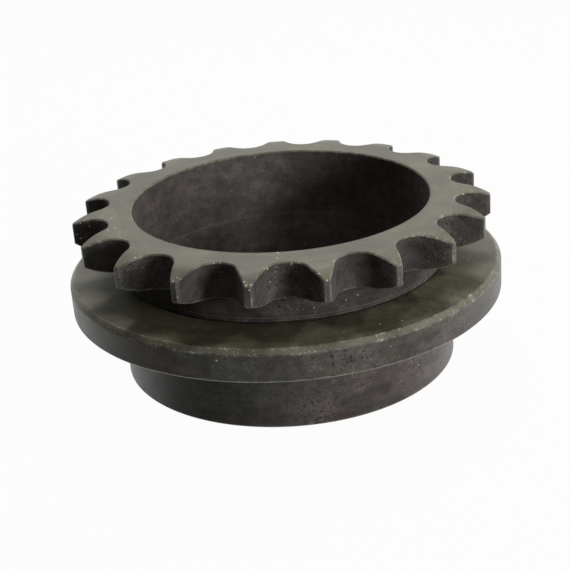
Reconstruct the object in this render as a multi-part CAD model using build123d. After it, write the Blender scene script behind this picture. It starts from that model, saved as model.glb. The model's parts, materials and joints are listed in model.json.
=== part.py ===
from build123d import *
import os
from math import acos, atan2, cos, hypot, isclose, pi, radians, sin, sqrt, tan

# Chain sprocket, turned from one steel blank and then toothed: a ring of teeth
# on top, a short neck, a round flange that reaches past the teeth and a plain
# hub, all round one smooth through bore. Millimetres, +Z along the bore, origin
# in the middle of the hub's end face, with one tooth pointing along +Y.

# Roller chain that runs on the teeth: 3/4 inch pitch, one strand
CHAIN_PITCH = 19.05
ROLLER_DIAMETER = 12.07
CHAIN_INNER_WIDTH = 11.68
LINK_PLATE_DEPTH = 16.13

# Tooth ring
TEETH = 19
TIP_CUTBACK = 0.33           # tooth tips inside the standard's middle height
TOOTH_SIDE_PLAY = 1.28       # chain's inner width less the width of a tooth
SIDE_RELIEF = 2.2            # taken off each side of a tooth at its tip
PLATE_CLEARANCE = 0.76       # between the neck and the lowest link plates

# Turned body
NECK_HEIGHT = 8.7
NECK_WALL = 4.15
FLANGE_THICKNESS = 9.4
FLANGE_REACH = 2.9           # past the tooth tips
HUB_HEIGHT = 21.6
HUB_WALL = 6.1

# Edges and corners
BORE_CHAMFER = 0.4
HUB_CHAMFER = 0.5
FLANGE_TOP_CHAMFER = 1.2
FLANGE_BOTTOM_CHAMFER = 0.5
HUB_CORNER_RADIUS = 1.0
UNDERCUT_HEIGHT = 0.7
UNDERCUT_DEPTH = 0.4
TOOTH_EDGE_BREAK = 0.4       # round each tooth gap, on both sides of the ring
CUT_CLEARANCE = 1.0          # how far a tooth gap's cut runs out of the ring

# Chain geometry: the rollers' centres lie on the pitch circle. Their seats and
# the flanks are halfway between the standard's smallest and largest tooth gap,
# and the tips are just inside the middle of its lowest and highest.
half_tooth = pi / TEETH
pitch_radius = CHAIN_PITCH / 2 / sin(half_tooth)
tip_height = (CHAIN_PITCH * (2.25 - 1.6 / TEETH) / 2 - ROLLER_DIAMETER) / 2 - TIP_CUTBACK
tip_radius = pitch_radius + tip_height
seat_radius = 0.505 * ROLLER_DIAMETER + 0.069 * ROLLER_DIAMETER ** (1 / 3) / 2
seat_half_angle = radians(130 - 90 / TEETH) / 2
flank_radius = ROLLER_DIAMETER * (0.12 * (TEETH + 2) + 0.008 * (TEETH**2 + 180)) / 2
relief_radius = CHAIN_PITCH
tooth_width = CHAIN_INNER_WIDTH - TOOTH_SIDE_PLAY

# Radii of the turned body: the link plates pass beside the neck, which sets
# its size, and the walls give the bore and the hub
neck_radius = (CHAIN_PITCH / tan(half_tooth) - 1.04 * LINK_PLATE_DEPTH - PLATE_CLEARANCE) / 2
bore_radius = neck_radius - NECK_WALL
hub_radius = bore_radius + HUB_WALL
flange_radius = tip_radius + FLANGE_REACH

# Heights of its faces
flange_bottom = HUB_HEIGHT
flange_top = flange_bottom + FLANGE_THICKNESS
ring_bottom = flange_top + NECK_HEIGHT
ring_top = ring_bottom + tooth_width


def corner(section, radius, height):
    """The section's corner at that radius and height."""
    return section.vertices().sort_by_distance((radius, 0, height))[0]


def turned_blank():
    """The whole turned shape, before toothing: its half section swept round the bore.

    The ring's two sides end in relief arcs that start square to the bore and
    fall away towards the tips.
    """
    relief_start = tip_radius - sqrt(relief_radius**2 - (relief_radius - SIDE_RELIEF) ** 2)
    lower_relief = TangentArc(
        (relief_start, 0, ring_bottom), (tip_radius, 0, ring_bottom + SIDE_RELIEF), tangent=(1, 0, 0)
    )
    upper_relief = TangentArc(
        (relief_start, 0, ring_top), (tip_radius, 0, ring_top - SIDE_RELIEF), tangent=(1, 0, 0)
    )
    below = Polyline(
        (bore_radius, 0, 0),
        (hub_radius, 0, 0),
        (hub_radius, 0, flange_bottom),
        (flange_radius, 0, flange_bottom),
        (flange_radius, 0, flange_top),
        (neck_radius, 0, flange_top),
        (neck_radius, 0, ring_bottom),
        lower_relief @ 0,
    )
    tips = Line(lower_relief @ 1, upper_relief @ 1)
    above = Polyline(upper_relief @ 0, (bore_radius, 0, ring_top), (bore_radius, 0, 0))
    section = make_face(below + lower_relief + tips + upper_relief + above)

    chamfers = [
        (bore_radius, 0, BORE_CHAMFER),
        (bore_radius, ring_top, BORE_CHAMFER),
        (hub_radius, 0, HUB_CHAMFER),
        (flange_radius, flange_bottom, FLANGE_BOTTOM_CHAMFER),
        (flange_radius, flange_top, FLANGE_TOP_CHAMFER),
    ]
    for radius, height, size in chamfers:
        section = chamfer(corner(section, radius, height), size)
    section = fillet(corner(section, hub_radius, flange_bottom), HUB_CORNER_RADIUS)
    return revolve(section, Axis.Z)


def neck_undercut():
    """The narrow relief groove turned into the neck's foot, with a 45 degree upper side."""
    groove = make_face(
        Polyline(
            (neck_radius, 0, flange_top),
            (neck_radius - UNDERCUT_DEPTH, 0, flange_top),
            (neck_radius - UNDERCUT_DEPTH, 0, flange_top + UNDERCUT_HEIGHT - UNDERCUT_DEPTH),
            (neck_radius, 0, flange_top + UNDERCUT_HEIGHT),
            close=True,
        )
    )
    return revolve(groove, Axis.Z)


def tooth_gap():
    """The space that one roller drops into, as a solid to cut away, centred on +X.

    The seat is an arc round the roller's centre. A flank arc that bulges into
    the gap leads off each end of it, out to a circle clear of the tips.
    """
    outer_radius = tip_radius + CUT_CLEARANCE
    root_radius = pitch_radius - seat_radius
    seat_end = (
        pitch_radius - seat_radius * cos(seat_half_angle),
        seat_radius * sin(seat_half_angle),
    )
    flank_centre_x = pitch_radius - (seat_radius + flank_radius) * cos(seat_half_angle)
    flank_centre_y = (seat_radius + flank_radius) * sin(seat_half_angle)
    reach = hypot(flank_centre_x, flank_centre_y)
    swing = acos((reach**2 + outer_radius**2 - flank_radius**2) / (2 * reach * outer_radius))
    mouth_angle = atan2(flank_centre_y, flank_centre_x) - swing
    mouth_end = (outer_radius * cos(mouth_angle), outer_radius * sin(mouth_angle))

    seat = ThreePointArc((seat_end[0], -seat_end[1]), (root_radius, 0), seat_end)
    flank = TangentArc(seat_end, mouth_end, tangent=(sin(seat_half_angle), cos(seat_half_angle)))
    mouth = ThreePointArc(mouth_end, (outer_radius, 0), (mouth_end[0], -mouth_end[1]))
    outline = make_face(seat + flank + mouth + mirror(flank, Plane.XZ))
    depth = tooth_width + 2 * CUT_CLEARANCE
    return extrude(Plane.XY.offset(ring_bottom - CUT_CLEARANCE) * outline, depth)


def in_tooth_gap(face):
    """Whether the face is a roller's seat or a tooth flank."""
    return face.geom_type == GeomType.CYLINDER and (
        isclose(face.radius, seat_radius) or isclose(face.radius, flank_radius)
    )


def chain_sprocket():
    """The finished sprocket: the turned body, toothed, with its tooth edges broken."""
    first_gap = 90 + 180 / TEETH
    gaps = PolarLocations(0, TEETH, start_angle=first_gap) * tooth_gap()
    toothed = turned_blank() - neck_undercut() - gaps
    gap_edges = toothed.faces().filter_by(in_tooth_gap).edges()
    side_edges = gap_edges.filter_by(GeomType.LINE, reverse=True)
    sprocket = chamfer(side_edges, TOOTH_EDGE_BREAK)
    sprocket.label = "chain_sprocket"
    return sprocket


os.makedirs("parts", exist_ok=True)
export_step(chain_sprocket(), "parts/chain_sprocket.step")
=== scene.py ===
import json
import math

import bpy
import numpy as np
from mathutils import Matrix, Vector


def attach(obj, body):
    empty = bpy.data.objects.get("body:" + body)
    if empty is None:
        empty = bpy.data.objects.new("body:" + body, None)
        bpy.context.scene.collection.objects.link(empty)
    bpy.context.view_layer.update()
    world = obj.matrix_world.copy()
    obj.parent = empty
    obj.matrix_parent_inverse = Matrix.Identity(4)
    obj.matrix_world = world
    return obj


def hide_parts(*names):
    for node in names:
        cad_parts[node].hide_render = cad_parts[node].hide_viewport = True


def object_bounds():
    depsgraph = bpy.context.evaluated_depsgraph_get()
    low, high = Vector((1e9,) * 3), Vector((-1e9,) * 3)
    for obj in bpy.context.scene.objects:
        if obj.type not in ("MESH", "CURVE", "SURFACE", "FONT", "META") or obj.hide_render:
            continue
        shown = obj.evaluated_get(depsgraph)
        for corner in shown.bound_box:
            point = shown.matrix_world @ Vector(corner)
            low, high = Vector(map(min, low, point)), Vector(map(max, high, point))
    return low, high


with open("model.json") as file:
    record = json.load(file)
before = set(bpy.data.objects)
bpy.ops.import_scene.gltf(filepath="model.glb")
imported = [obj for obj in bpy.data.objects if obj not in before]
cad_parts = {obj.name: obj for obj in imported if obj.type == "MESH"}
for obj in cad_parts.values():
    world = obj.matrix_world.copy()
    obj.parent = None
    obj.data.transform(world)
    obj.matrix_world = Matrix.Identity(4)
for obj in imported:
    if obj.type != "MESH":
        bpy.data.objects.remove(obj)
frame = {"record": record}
cad_low, cad_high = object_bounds()

# ---------------------------------------------------------------------------
# Outline of the teeth. A form cutter takes one gap after another out of the
# turned ring: a roller's seat between two long, gently curved flanks. The
# narrow land left at each tip is part of the turned outside.
# ---------------------------------------------------------------------------
mounts = {mount["name"]: mount for mount in frame["record"]["mounts"]}
TEETH = mounts["chain"]["dims"]["count"]
PITCH_RADIUS = mounts["chain"]["dims"]["pcd_mm"] / 2000
FLANGE_REACH = 0.0029
TIP_RADIUS = cad_high.x - FLANGE_REACH
SEAT_RADIUS = 0.006174
SEAT_HALF_ANGLE = math.radians(62.63)
FLANK_RADIUS = 0.04133
TIP_CORNER_BLEND = 0.0005
COLUMNS_PER_TOOTH = 48
FINE_STEPS_PER_TOOTH = 1600

seat_length = SEAT_RADIUS * SEAT_HALF_ANGLE
flank_centre = PITCH_RADIUS + (SEAT_RADIUS + FLANK_RADIUS) * np.exp(1j * (math.pi - SEAT_HALF_ANGLE))


def gap_wall(distance):
    """One wall of the gap on +X, as x + iy, at distances along it from the gap's middle.

    The first seat_length is an arc round the roller's centre, from its side
    nearest the bore. The rest is an arc about flank_centre, inside the tooth.
    """
    seat = PITCH_RADIUS + SEAT_RADIUS * np.exp(1j * (math.pi - distance / SEAT_RADIUS))
    turn = (distance - seat_length) / FLANK_RADIUS - SEAT_HALF_ANGLE
    return np.where(distance < seat_length, seat, flank_centre + FLANK_RADIUS * np.exp(1j * turn))


probe = np.linspace(seat_length, 3 * seat_length, 2000)
tip_corner = np.interp(TIP_RADIUS, np.abs(gap_wall(probe)), probe)
corner_angle = np.angle(gap_wall(tip_corner))
half_length = tip_corner + TIP_RADIUS * (math.pi / TEETH - corner_angle)


def tooth_outline(along):
    """The ring's outline over one pitch, as x + iy: a gap's two walls, then half a land each side.

    along runs from -half_length to half_length, and the second wall is the
    first one mirrored in the X axis.
    """
    distance = np.abs(along)
    land = TIP_RADIUS * np.exp(1j * (corner_angle + (distance - tip_corner) / TIP_RADIUS))
    wall = np.where(distance < tip_corner, gap_wall(distance), land)
    return np.where(along < 0, wall.conj(), wall)


def running_mean(values, length):
    """Mean of a closed ring of values over a window of that length along it, taken twice."""
    reach = max(1, round(length / (2 * half_length) * FINE_STEPS_PER_TOOTH / 2))
    window = np.full(2 * reach + 1, 1 / (2 * reach + 1))
    for _ in range(2):
        values = np.convolve(np.concatenate([values[-reach:], values, values[:reach]]), window, "valid")
    return values


fine_along = (np.arange(FINE_STEPS_PER_TOOTH) + 0.5) / FINE_STEPS_PER_TOOTH * 2 * half_length - half_length
gap_angles = math.pi / 2 + math.pi / TEETH + 2 * math.pi * np.arange(TEETH) / TEETH
fine_outline = (np.exp(1j * gap_angles)[:, None] * tooth_outline(fine_along)).ravel()
fine_outline = running_mean(fine_outline, TIP_CORNER_BLEND)

# Columns of the grid stand closer together round the corners of a tip
to_corner = np.tile(np.abs(np.abs(fine_along) - tip_corner), TEETH)
crowding = 1 + 7 * np.exp(-((to_corner / 0.0004) ** 2))
column_at = np.cumsum(crowding) / np.sum(crowding) * TEETH * COLUMNS_PER_TOOTH
columns = np.arange(TEETH * COLUMNS_PER_TOOTH) + 0.5


def at_columns(values):
    """A ring of finely spaced values, read at the grid's columns by straight-line interpolation."""
    return np.interp(columns, column_at, values)


fine_heading = np.roll(fine_outline, -1) - np.roll(fine_outline, 1)
fine_inward = running_mean(1j * fine_heading / np.abs(fine_heading), 0.0012)
outline = at_columns(fine_outline.real) + 1j * at_columns(fine_outline.imag)
inward = at_columns(fine_inward.real) + 1j * at_columns(fine_inward.imag)
inward /= np.abs(inward)
outward_ray = outline / np.abs(outline)
near_tip_corner = np.exp(-((at_columns(to_corner) / 0.00018) ** 2))
on_land = np.clip((np.abs(outline) - TIP_RADIUS + 0.0002) / 0.00015, 0, 1)

# ---------------------------------------------------------------------------
# Sprocket body. One steel blank, turned all over on the lathe: hub, flange,
# neck and ring round a plain bore. Its corners are broken by hand and by
# tumbling, so every one of them is a small rounding.
# ---------------------------------------------------------------------------
BORE_RADIUS = mounts["bore"]["dims"]["r_mm"] / 1000
HUB_RADIUS = BORE_RADIUS + 0.0061
NECK_RADIUS = BORE_RADIUS + 0.00415
FLANGE_RADIUS = cad_high.x
FLANGE_BOTTOM = 0.0216
FLANGE_TOP = FLANGE_BOTTOM + 0.0094
RING_BOTTOM = FLANGE_TOP + 0.0087
RING_TOP = cad_high.z
SIDE_RELIEF = 0.0022
RELIEF_RADIUS = 0.01905
BORE_CHAMFER = 0.0004
HUB_CHAMFER = 0.0005
FLANGE_TOP_CHAMFER = 0.0012
FLANGE_BOTTOM_CHAMFER = 0.0005
UNDERCUT_DEPTH = 0.0004
UNDERCUT_HEIGHT = 0.0007
TOOTH_EDGE_BREAK = 0.0004
PLAIN_RADIUS = 0.0503         # the last full circle inside the tooth roots

relief_start = TIP_RADIUS - math.sqrt(RELIEF_RADIUS**2 - (RELIEF_RADIUS - SIDE_RELIEF) ** 2)


def relief(radius):
    """How far a side of the ring has fallen away: a circle's arc that starts flat at relief_start."""
    past = np.clip(radius - relief_start, 0, None)
    return RELIEF_RADIUS - np.sqrt(RELIEF_RADIUS**2 - past**2)


def rounded_section(corners):
    """A section line (radius + i height) through the corners, each replaced by an arc.

    A corner is (radius, height, arc radius, wear). The arc has three points and
    touches both sides, arc radius x tan(turn / 2) from the corner. A worn corner
    also gets a support point on each side. wear comes back for every point.
    """
    points = np.array([radius + 1j * height for radius, height, _, _ in corners])
    line, wear = [points[:1]], [np.zeros(1)]
    for before, here, after, (_, _, arc_radius, worn) in zip(points, points[1:], points[2:], corners[1:]):
        arriving, leaving = (here - before) / abs(here - before), (after - here) / abs(after - here)
        turn = np.angle(leaving / arriving)
        start = here - arriving * arc_radius * abs(math.tan(turn / 2))
        centre = start + 1j * np.sign(turn) * arriving * arc_radius
        arc = centre + (start - centre) * np.exp(1j * turn * np.array([0, 0.5, 1]))
        if worn:
            room = min(0.0004, 0.3 * abs(here - before), 0.3 * abs(after - here))
            arc = np.concatenate([[start - arriving * room], arc, [arc[-1] + leaving * room]])
        line.append(arc)
        wear.append(worn * np.array([0, 0.6, 1, 0.6, 0]) if worn else np.zeros(3))
    return np.concatenate([*line, points[-1:]]), np.concatenate([*wear, np.zeros(1)])


# The profile of the teeth's broken edges, which are fainter along the narrow lands
edge_profile, _ = rounded_section(
    [
        (1.5 * TOOTH_EDGE_BREAK, 0, 0, 0),
        (TOOTH_EDGE_BREAK, 0, 0.00012, 0),
        (0, TOOTH_EDGE_BREAK, 0.00012, 0),
        (0, 1.5 * TOOTH_EDGE_BREAK, 0, 0),
    ]
)
edge_wear = np.array([0, 0.2, 1, 0.7, 0.7, 1, 0.2, 0])
edge_share = 1 - 0.5 * on_land


def turned_rows(section):
    """Rings of points, one for each point of the section: (r cos a, r sin a, z) at each column's angle a."""
    ring = section.real[:, None] * outward_ray
    return np.stack([ring.real, ring.imag, np.broadcast_to(section.imag[:, None], ring.shape)], -1)


def toothed_rows(profile, side):
    """Rows that follow the teeth, one for each point of the profile of the ring's broken edge.

    A point is a distance in from the outline + i times the distance short of
    the ring's face. side is 1 for its upper face and -1 for its lower one.
    """
    path = outline + (profile.real[:, None] * edge_share) * inward
    half_width = (RING_TOP - RING_BOTTOM) / 2 - relief(np.abs(path)) - profile.imag[:, None] * edge_share
    height = (RING_TOP + RING_BOTTOM) / 2 + side * half_width
    return np.stack([path.real, path.imag, height], -1)


def ring_face_rows(side, steps):
    """Rows across the ring's face, from the last full circle out to the teeth's rounded edge.

    Each row lies a share of the way along straight lines between the two.
    """
    share = np.linspace(0, 1, steps + 1)[1:-1, None] ** 0.8
    edge = outline + edge_profile[0].real * edge_share * inward
    path = (1 - share) * PLAIN_RADIUS * outward_ray + share * edge
    height = (RING_TOP + RING_BOTTOM) / 2 + side * ((RING_TOP - RING_BOTTOM) / 2 - relief(np.abs(path)))
    return np.stack([path.real, path.imag, height], -1)


section, section_wear = rounded_section(
    [
        (PLAIN_RADIUS, RING_BOTTOM, 0, 0),
        (NECK_RADIUS, RING_BOTTOM, 0.0004, 0),
        (NECK_RADIUS, FLANGE_TOP + UNDERCUT_HEIGHT, 0.0002, 1.0),
        (NECK_RADIUS - UNDERCUT_DEPTH, FLANGE_TOP + UNDERCUT_HEIGHT - UNDERCUT_DEPTH, 0.0001, 0),
        (NECK_RADIUS - UNDERCUT_DEPTH, FLANGE_TOP, 0.0001, 0),
        (FLANGE_RADIUS - FLANGE_TOP_CHAMFER, FLANGE_TOP, 0.0006, 0.8),
        (FLANGE_RADIUS, FLANGE_TOP - FLANGE_TOP_CHAMFER, 0.0006, 0.8),
        (FLANGE_RADIUS, FLANGE_BOTTOM + FLANGE_BOTTOM_CHAMFER, 0.0003, 0.9),
        (FLANGE_RADIUS - FLANGE_BOTTOM_CHAMFER, FLANGE_BOTTOM, 0.0003, 0.9),
        (HUB_RADIUS, FLANGE_BOTTOM, 0.001, 0),
        (HUB_RADIUS, HUB_CHAMFER, 0.0003, 0.6),
        (HUB_RADIUS - HUB_CHAMFER, 0, 0.0003, 0.6),
        (BORE_RADIUS + BORE_CHAMFER, 0, 0.0002, 0.6),
        (BORE_RADIUS, BORE_CHAMFER, 0.0002, 0.6),
        (BORE_RADIUS, RING_TOP - BORE_CHAMFER, 0.0002, 0.8),
        (BORE_RADIUS + BORE_CHAMFER, RING_TOP, 0.0002, 0.8),
        (PLAIN_RADIUS, RING_TOP, 0, 0),
    ]
)
upper_edge = toothed_rows(edge_profile, 1)
lower_edge = toothed_rows(edge_profile[::-1], -1)
wall_share = np.linspace(0, 1, 5)[1:-1, None, None]
wall = upper_edge[-1] * (1 - wall_share) + lower_edge[0] * wall_share
FACE_STEPS = 7
rows = np.concatenate(
    [
        turned_rows(section),
        ring_face_rows(1, FACE_STEPS),
        upper_edge,
        wall,
        lower_edge,
        ring_face_rows(-1, FACE_STEPS)[::-1],
    ]
)
plain = np.zeros(FACE_STEPS - 1)
row_wear = np.concatenate([section_wear, plain, edge_wear, np.zeros(len(wall)), edge_wear[::-1], plain])
is_wall = np.concatenate([np.zeros(len(section)), plain, np.ones(2 * len(edge_wear) + len(wall)), plain])
wear = np.maximum(row_wear[:, None], is_wall[:, None] * 0.8 * near_tip_corner)


def grid_faces(row_count, column_count):
    """Quads of a grid that closes on itself both ways, each turned to face outwards."""
    first = np.arange(row_count * column_count).reshape(row_count, column_count)
    below = np.roll(first, -1, 0)
    return np.stack([first, below, np.roll(below, -1, 1), np.roll(first, -1, 1)], -1).reshape(-1, 4)


def surface_mesh(name, points, faces):
    """A mesh object from arrays of points and of four-cornered faces, smooth-shaded."""
    mesh = bpy.data.meshes.new(name)
    mesh.vertices.add(len(points))
    mesh.vertices.foreach_set("co", points.ravel())
    mesh.loops.add(faces.size)
    mesh.loops.foreach_set("vertex_index", faces.ravel())
    mesh.polygons.add(len(faces))
    mesh.polygons.foreach_set("loop_start", np.arange(0, faces.size, 4))
    mesh.polygons.foreach_set("use_smooth", np.ones(len(faces), bool))
    mesh.update()
    mesh.validate()
    piece = bpy.data.objects.new(name, mesh)
    bpy.context.scene.collection.objects.link(piece)
    return piece


sprocket = surface_mesh("sprocket", rows.reshape(-1, 3), grid_faces(*rows.shape[:2]))
sprocket.data.attributes.new("wear", "FLOAT", "POINT").data.foreach_set("value", wear.ravel())
weighted = sprocket.modifiers.new("weighted normals", "WEIGHTED_NORMAL")
weighted.weight = 50
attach(sprocket, "root")
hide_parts("chain_sprocket")

# ---------------------------------------------------------------------------
# Finish of the steel. A thin dark oxide, olive grey on the flat faces and
# browner on the upright ones, over fine turning marks. It is cloudy, pitted
# and dusty, and rubbed lighter along the edges. Painted shade darkens the
# tooth gaps, the neck and the groove at its foot; painted light brightens a
# patch in the bore and the upper face near the tips; painted glints sit on
# the edges and in the bore.
# ---------------------------------------------------------------------------
OLIVE = (0.076, 0.071, 0.045, 1)
BROWN_GREY = (0.080, 0.069, 0.064, 1)
GREEN_GREY = (0.073, 0.071, 0.062, 1)
BORE_GREY = (0.070, 0.061, 0.056, 1)
PALE_AND_LIT_PATCH = (0.115, 0.102, 0.094, 1)
PAINTED_SHADE = (0.050, 0.044, 0.041, 1)
RUB_AND_LIGHT_PALE = (0.30, 0.29, 0.24, 1)
DUST_AND_GLINT = (0.62, 0.58, 0.46, 1)
YELLOW = (0.45, 0.42, 0.18, 1)
PIT = (0.018, 0.016, 0.015, 1)

# Single marks: azimuth in degrees, then radius, height and reach in millimetres
CHIPS = [
    (259.6, 60.4, 48.6, 0.40), (260.3, 61.5, 48.1, 0.35), (261.0, 61.8, 46.9, 0.30),
    (265.4, 53.6, 45.5, 0.25), (265.0, 54.1, 49.4, 0.30), (271.7, 51.9, 49.4, 0.30),
    (241.6, 61.7, 47.9, 0.45), (242.2, 60.4, 48.5, 0.30), (242.4, 61.8, 43.6, 0.30),
    (279.5, 61.7, 47.9, 0.35), (278.1, 59.3, 49.0, 0.30), (267.7, 45.0, 50.1, 0.45),
    (267.7, 48.8, 50.1, 0.40), (252.3, 64.7, 28.0, 0.40), (186.7, 59.2, 48.7, 0.35),
    (187.9, 56.7, 47.8, 0.35), (186.1, 60.7, 45.1, 0.35), (186.5, 59.8, 43.9, 0.45),
    (200.6, 52.8, 50.1, 0.40), (206.1, 57.4, 49.6, 0.35), (225.0, 56.6, 49.7, 0.35),
    (292.9, 48.3, 36.0, 0.20), (288.8, 48.3, 35.3, 0.20),
]
# The first two are painted glints on the bore's wall; the other two are stains on the ring's face
GLINTS_AND_STAINS = [(12.0, 44.2, 45.4, 0.9), (9.0, 44.2, 43.0, 0.8), (199.6, 50.5, 50.1, 0.5), (189.6, 50.1, 50.1, 0.5)]
DINGS = [(259.2, 48.2, 50.1, 0.50), (242.0, 61.8, 44.0, 0.35)]
# A paler patch on the back of the bore: partly its own cloudy tone, partly painted light
BORE_LIGHT_PATCH = [(95.0, 44.2, 33.0, 30.0)]
BORE_LINE_HEIGHT = 0.0284     # a faint tool mark

steel = bpy.data.materials.new("oxide_steel")
steel.use_nodes = True
nodes, links = steel.node_tree.nodes, steel.node_tree.links
shader = nodes["Principled BSDF"]


def socket(target, value):
    """Gives an input socket a value, or links another node's output to it."""
    if isinstance(value, bpy.types.NodeSocket):
        links.new(value, target)
    else:
        target.default_value = value


def maths(operation, first, second=0.0):
    """The output of a Math node."""
    node = nodes.new("ShaderNodeMath")
    node.operation = operation
    socket(node.inputs[0], first)
    socket(node.inputs[1], second)
    return node.outputs[0]


def ramp(value, low, high, to_low=0.0, to_high=1.0):
    """value taken from low..high to to_low..to_high along an S-curve, and held beyond."""
    node = nodes.new("ShaderNodeMapRange")
    node.interpolation_type = "SMOOTHSTEP"
    socket(node.inputs["Value"], value)
    for name, number in (("From Min", low), ("From Max", high), ("To Min", to_low), ("To Max", to_high)):
        node.inputs[name].default_value = number
    return node.outputs["Result"]


def noise(vector, scale, detail=3.0, roughness=0.55):
    """Cloud noise, from 0 to 1 about 0.5; its blotches are about 1 / scale across."""
    node = nodes.new("ShaderNodeTexNoise")
    socket(node.inputs["Vector"], vector)
    for name, number in (("Scale", scale), ("Detail", detail), ("Roughness", roughness)):
        node.inputs[name].default_value = number
    return node.outputs["Fac"]


def spots(vector, scale, size, share):
    """Round spots of that size, 1 in the middle, in that share of cells 1 / scale across."""
    node = nodes.new("ShaderNodeTexVoronoi")
    socket(node.inputs["Vector"], vector)
    node.inputs["Scale"].default_value = scale
    chosen = nodes.new("ShaderNodeSeparateXYZ")
    links.new(node.outputs["Color"], chosen.inputs[0])
    disc = ramp(node.outputs["Distance"], size * scale, 0.4 * size * scale)
    return maths("MULTIPLY", disc, maths("LESS_THAN", chosen.outputs[0], share))


def over(base, share, colour):
    """base, with that share of colour painted over it."""
    node = nodes.new("ShaderNodeMixRGB")
    for target, value in zip(node.inputs, (share, base, colour)):
        socket(target, value)
    return node.outputs[0]


def marks(places, unevenness):
    """1 in each of the places, fading out over its reach. unevenness, in metres, breaks up their edges."""
    total = 0.0
    for azimuth, distance, height, reach in places:
        turn = math.radians(azimuth)
        away = nodes.new("ShaderNodeVectorMath")
        away.operation = "DISTANCE"
        links.new(place, away.inputs[0])
        away.inputs[1].default_value = Vector(
            (distance * math.cos(turn), distance * math.sin(turn), height)
        ) / 1000
        uneven = maths("ADD", away.outputs["Value"], maths("MULTIPLY", grain, unevenness))
        outer, inner = (share * reach / 1000 + unevenness / 2 for share in (1.0, 0.3))
        total = maths("MAXIMUM", total, ramp(uneven, outer, inner))
    return total


def line(height, reach):
    """1 at that height, fading to 0 within that reach of it."""
    return ramp(maths("ABSOLUTE", maths("SUBTRACT", z, height)), reach, 0.3 * reach)


def times(first, *others):
    """The product of any number of values."""
    for other in others:
        first = maths("MULTIPLY", first, other)
    return first


coordinates = nodes.new("ShaderNodeTexCoord")
place = coordinates.outputs["Object"]
axes = nodes.new("ShaderNodeSeparateXYZ")
links.new(place, axes.inputs[0])
x, y, z = axes.outputs
radius = maths("SQRT", maths("ADD", maths("MULTIPLY", x, x), maths("MULTIPLY", y, y)))
facing = nodes.new("ShaderNodeSeparateXYZ")
links.new(coordinates.outputs["Normal"], facing.inputs[0])
level = ramp(maths("ABSOLUTE", facing.outputs[2]), 0.35, 0.85)
upright = maths("SUBTRACT", 1.0, level)
attribute = nodes.new("ShaderNodeAttribute")
attribute.attribute_name = "wear"
worn = attribute.outputs["Fac"]


def drawn_round(across, along):
    """Coordinates whose noise is drawn out round the axis: across and along are its scales."""
    node = nodes.new("ShaderNodeCombineXYZ")
    socket(node.inputs[0], maths("MULTIPLY", maths("DIVIDE", x, radius), along))
    socket(node.inputs[1], maths("MULTIPLY", maths("DIVIDE", y, radius), along))
    socket(node.inputs[2], maths("MULTIPLY", maths("ADD", radius, z), across))
    return node.outputs[0]


turning = noise(drawn_round(4200.0, 2.0), 1.0, 2.0, 0.6)
smears = noise(drawn_round(300.0, 5.0), 1.0, 4.0, 0.6)
clouds = noise(place, 40.0, 4.0, 0.6)
mottle = noise(place, 330.0, 3.0, 0.6)
grain = noise(place, 2400.0, 2.0, 0.7)
aside = nodes.new("ShaderNodeVectorMath")
aside.inputs[1].default_value = (0.31, 0.17, 0.23)
links.new(place, aside.inputs[0])
shifted = aside.outputs[0]
hues = noise(shifted, 26.0, 2.0, 0.5)

in_bore = ramp(radius, BORE_RADIUS + 0.00104, BORE_RADIUS + 0.00064)
above_flange = ramp(z, FLANGE_TOP - 0.0005, FLANGE_TOP + 0.0002)
on_teeth_or_neck = times(above_flange, ramp(radius, BORE_RADIUS + 0.00204, BORE_RADIUS + 0.00264))
# Painted shade: the upright faces of the tooth gaps and the neck, short of the tips
gap_and_neck_shade = times(on_teeth_or_neck, ramp(radius, TIP_RADIUS - 0.0004, TIP_RADIUS - 0.0016), upright)
# Painted shade: a dark line in the groove at the neck's foot
groove_shade = times(ramp(z, FLANGE_TOP + 0.0008, FLANGE_TOP + 0.0004), on_teeth_or_neck)
groove_shade = times(groove_shade, ramp(radius, NECK_RADIUS + 0.0003, NECK_RADIUS - 0.0001))
slope = maths("ABSOLUTE", facing.outputs[2])
bevel = times(ramp(slope, 0.45, 0.6), ramp(slope, 0.92, 0.82))

# Pits lie on the upright faces, in cloudy patches, with bright flecks and dust over all
patches = times(ramp(clouds, 0.40, 0.62), upright, maths("SUBTRACT", 1.0, maths("MULTIPLY", in_bore, 0.6)))
pits = times(ramp(noise(place, 1150.0, 1.0, 0.5), 0.61, 0.69), patches)
flecks = times(ramp(noise(shifted, 1500.0, 1.0, 0.5), 0.66, 0.73), ramp(clouds, 0.42, 0.62))
# Painted glints: bright specks along the worn edges and on the chamfers
glinting = times(ramp(noise(shifted, 1500.0, 1.0, 0.5), 0.56, 0.66), ramp(mottle, 0.45, 0.60))
painted_glints = times(glinting, maths("MAXIMUM", worn, maths("MULTIPLY", bevel, 0.35)))
# Painted light: the upper face turns lighter towards the tips, where its relief slopes away from the lamps
on_upper_face = ramp(z, RING_TOP - 0.0051, RING_TOP - 0.0031)
tip_painted_light = times(level, ramp(radius, TIP_RADIUS - 0.0043, TIP_RADIUS - 0.0006), on_upper_face)
on_neck = times(on_teeth_or_neck, ramp(radius, NECK_RADIUS + 0.0007, NECK_RADIUS + 0.0003))
neck_line = times(line(FLANGE_TOP + 0.0016, 0.00012), on_neck)
bore_line = times(line(BORE_LINE_HEIGHT, 0.00022), in_bore, ramp(y, -0.01, 0.01), ramp(clouds, 0.35, 0.5))
dust = maths("MAXIMUM", spots(place, 170.0, 0.00030, 0.10), spots(shifted, 420.0, 0.00020, 0.12))

colour = over(BROWN_GREY, ramp(hues, 0.44, 0.60), GREEN_GREY)
colour = over(colour, in_bore, BORE_GREY)
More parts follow.
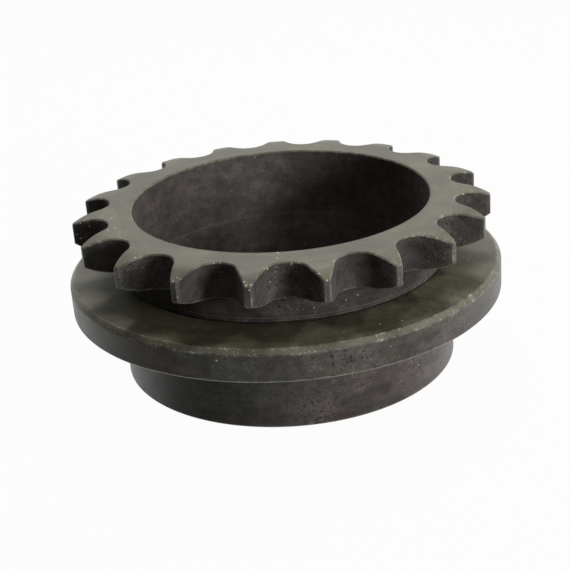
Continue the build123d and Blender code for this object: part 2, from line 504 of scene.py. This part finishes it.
# Paler patch in the bore, partly cloudy tone and partly painted light
colour = over(colour, times(in_bore, marks(BORE_LIGHT_PATCH, 0.0), ramp(clouds, 0.3, 0.6, 0.5, 1.0)), PALE_AND_LIT_PATCH)
# Painted shade in the tooth gaps and on the neck
colour = over(colour, times(gap_and_neck_shade, 0.8), PAINTED_SHADE)
colour = over(colour, level, OLIVE)
tone = times(
    ramp(clouds, 0.3, 0.7, 0.76, 1.24),
    ramp(smears, 0.3, 0.7, 0.84, 1.16),
    ramp(mottle, 0.3, 0.7, 0.84, 1.16),
    ramp(turning, 0.3, 0.7, 0.95, 1.05),
    ramp(grain, 0.3, 0.7, 0.80, 1.20),
)
toned = nodes.new("ShaderNodeVectorMath")
toned.operation = "SCALE"
links.new(colour, toned.inputs[0])
links.new(tone, toned.inputs["Scale"])
rub_and_tip_light = maths("MAXIMUM", times(worn, ramp(mottle, 0.38, 0.60, 0.25, 1.0)), times(bevel, 0.45))
rub_and_tip_light = times(rub_and_tip_light, ramp(smears, 0.35, 0.6, 0.45, 1.0))
# Painted light near the tips joins the real rubbing
rub_and_tip_light = maths("MAXIMUM", rub_and_tip_light, maths("MULTIPLY", tip_painted_light, 0.3))
rub_and_tip_light = maths("MAXIMUM", rub_and_tip_light, maths("MULTIPLY", maths("ADD", neck_line, bore_line), 0.4))
colour = over(toned.outputs[0], maths("MULTIPLY", pits, 0.65), PIT)
colour = over(colour, maths("MULTIPLY", flecks, 0.35), RUB_AND_LIGHT_PALE)
colour = over(colour, maths("MULTIPLY", rub_and_tip_light, 0.6), RUB_AND_LIGHT_PALE)
# Painted glints on the edges
colour = over(colour, maths("MULTIPLY", painted_glints, 0.55), DUST_AND_GLINT)
colour = over(colour, maths("MULTIPLY", maths("MAXIMUM", dust, marks(CHIPS, 0.0004)), 0.8), DUST_AND_GLINT)
# Painted glints in the bore, and stains on the ring's face
colour = over(colour, maths("MULTIPLY", marks(GLINTS_AND_STAINS, 0.0005), 0.7), YELLOW)
colour = over(colour, maths("MULTIPLY", marks(DINGS, 0.0004), 0.8), PIT)
# Painted shade in the groove
colour = over(colour, maths("MULTIPLY", groove_shade, 0.9), PIT)
links.new(colour, shader.inputs["Base Color"])

# The oxide shines most at a glancing angle, and least in the bore, in the groove and where the tooth gaps and
# neck carry painted shade
grazing = nodes.new("ShaderNodeLayerWeight")
shine = ramp(grazing.outputs["Facing"], 0.15, 0.9, 0.015, 0.42)
dull = maths("MAXIMUM", maths("MAXIMUM", gap_and_neck_shade, groove_shade), maths("MULTIPLY", in_bore, 0.5))
dulled = maths("SUBTRACT", 1.0, maths("MULTIPLY", dull, 0.92))
links.new(times(shine, dulled), shader.inputs["Specular IOR Level"])
links.new(ramp(mottle, 0.3, 0.7, 0.38, 0.48), shader.inputs["Roughness"])

bump = nodes.new("ShaderNodeBump")
bump.inputs["Distance"].default_value = 0.00003
height = maths("ADD", maths("MULTIPLY", turning, 0.08), maths("MULTIPLY", mottle, 0.6))
height = maths("ADD", height, maths("MULTIPLY", grain, 0.3))
links.new(maths("SUBTRACT", height, pits), bump.inputs["Height"])
links.new(bump.outputs[0], shader.inputs["Normal"])
sprocket.data.materials.append(steel)

# ---------------------------------------------------------------------------
# Studio: a white floor that keeps a faint shadow, in front of a white that hides
# its far edge, all but a faint step.
# ---------------------------------------------------------------------------
FLOOR_SIZE = 3.0

corner = FLOOR_SIZE / 2
floor_mesh = bpy.data.meshes.new("floor")
floor_mesh.from_pydata(
    [(across * corner, along * corner, -0.0001) for across, along in ((-1, -1), (1, -1), (1, 1), (-1, 1))],
    [],
    [(0, 1, 2, 3)],
)
floor = bpy.data.objects.new("floor", floor_mesh)
bpy.context.scene.collection.objects.link(floor)


def seen_directly(tree):
    """1 for a ray that shows the background: straight, mirrored or passed through glass."""
    path = tree.nodes.new("ShaderNodeLightPath")
    total = path.outputs["Is Camera Ray"]
    for name in ("Is Glossy Ray", "Is Transmission Ray"):
        add = tree.nodes.new("ShaderNodeMath")
        add.operation = "MAXIMUM"
        tree.links.new(total, add.inputs[0])
        tree.links.new(path.outputs[name], add.inputs[1])
        total = add.outputs[0]
    return total


paper = bpy.data.materials.new("white_floor")
paper.use_nodes = True
tree = paper.node_tree
tree.nodes["Principled BSDF"].inputs["Base Color"].default_value = (0.35, 0.35, 0.35, 1)
tree.nodes["Principled BSDF"].inputs["Roughness"].default_value = 0.9
tree.nodes["Principled BSDF"].inputs["Specular IOR Level"].default_value = 0.0
glow = tree.nodes.new("ShaderNodeEmission")
glow.inputs["Strength"].default_value = 1.0
share = tree.nodes.new("ShaderNodeMath")
share.operation = "MULTIPLY"
share.inputs[1].default_value = 0.97
tree.links.new(seen_directly(tree), share.inputs[0])
blend = tree.nodes.new("ShaderNodeMixShader")
tree.links.new(share.outputs[0], blend.inputs[0])
tree.links.new(tree.nodes["Principled BSDF"].outputs[0], blend.inputs[1])
tree.links.new(glow.outputs[0], blend.inputs[2])
tree.links.new(blend.outputs[0], tree.nodes["Material Output"].inputs[0])
floor_mesh.materials.append(paper)

world = bpy.data.worlds.new("studio")
bpy.context.scene.world = world
world.use_nodes = True
tree = world.node_tree
room = tree.nodes["Background"]
room.inputs["Color"].default_value = (1, 1, 1, 1)
room.inputs["Strength"].default_value = 0.0
white = tree.nodes.new("ShaderNodeBackground")
white.inputs["Color"].default_value = (1, 1, 1, 1)
white.inputs["Strength"].default_value = 1.0
blend = tree.nodes.new("ShaderNodeMixShader")
tree.links.new(seen_directly(tree), blend.inputs[0])
tree.links.new(room.outputs[0], blend.inputs[1])
tree.links.new(white.outputs[0], blend.inputs[2])
tree.links.new(blend.outputs[0], tree.nodes["World Output"].inputs[0])

# ---------------------------------------------------------------------------
# Lamps: square soft boxes, low on the right in front, small and higher up on
# the right, weak in front and strong high up behind. The left stays dark.
# ---------------------------------------------------------------------------
LAMP_DISTANCE = 0.9
LAMP_AIM = Vector((0, 0, 0.03))


def soft_box(name, azimuth, elevation, size, power):
    """A soft box that shines at LAMP_AIM from that direction, in degrees: azimuth from +X to +Y."""
    across, up = math.radians(azimuth), math.radians(elevation)
    away = Vector((math.cos(up) * math.cos(across), math.cos(up) * math.sin(across), math.sin(up)))
    lamp = bpy.data.lights.new(name, "AREA")
    lamp.size, lamp.energy = size, power
    box = bpy.data.objects.new(name, lamp)
    box.location = LAMP_AIM + LAMP_DISTANCE * away
    box.rotation_euler = away.to_track_quat("Z", "Y").to_euler()
    bpy.context.scene.collection.objects.link(box)
    return box


side_light = soft_box("side light", -42, 10, 0.25, 6.2)
side_light.visible_glossy = False      # flat faces seen from behind would mirror it as a white glare
soft_box("upper side light", -10, 44, 0.12, 3.0)
soft_box("front light", -75, 42, 0.4, 0.45)
soft_box("back light", 88, 60, 0.35, 6.5)

# ---------------------------------------------------------------------------
# Camera: a long lens, looking down at the tooth that points away from it.
# ---------------------------------------------------------------------------
CAMERA_PLACE = Vector((-0.00054, -0.3543, 0.1740))
CAMERA_DIP = math.radians(23.32)
CAMERA_ROLL = math.radians(-4.205)
LENS = 79.62

lens = bpy.data.cameras.new("camera")
lens.lens, lens.sensor_width = LENS, 36
lens.clip_start, lens.clip_end = 0.01, 10
camera = bpy.data.objects.new("camera", lens)
camera.matrix_world = (
    Matrix.Translation(CAMERA_PLACE)
    @ Matrix.Rotation(math.pi / 2 - CAMERA_DIP, 4, "X")
    @ Matrix.Rotation(CAMERA_ROLL, 4, "Z")
)
bpy.context.scene.collection.objects.link(camera)
bpy.context.scene.camera = camera

bpy.context.scene.view_settings.view_transform = "Standard"
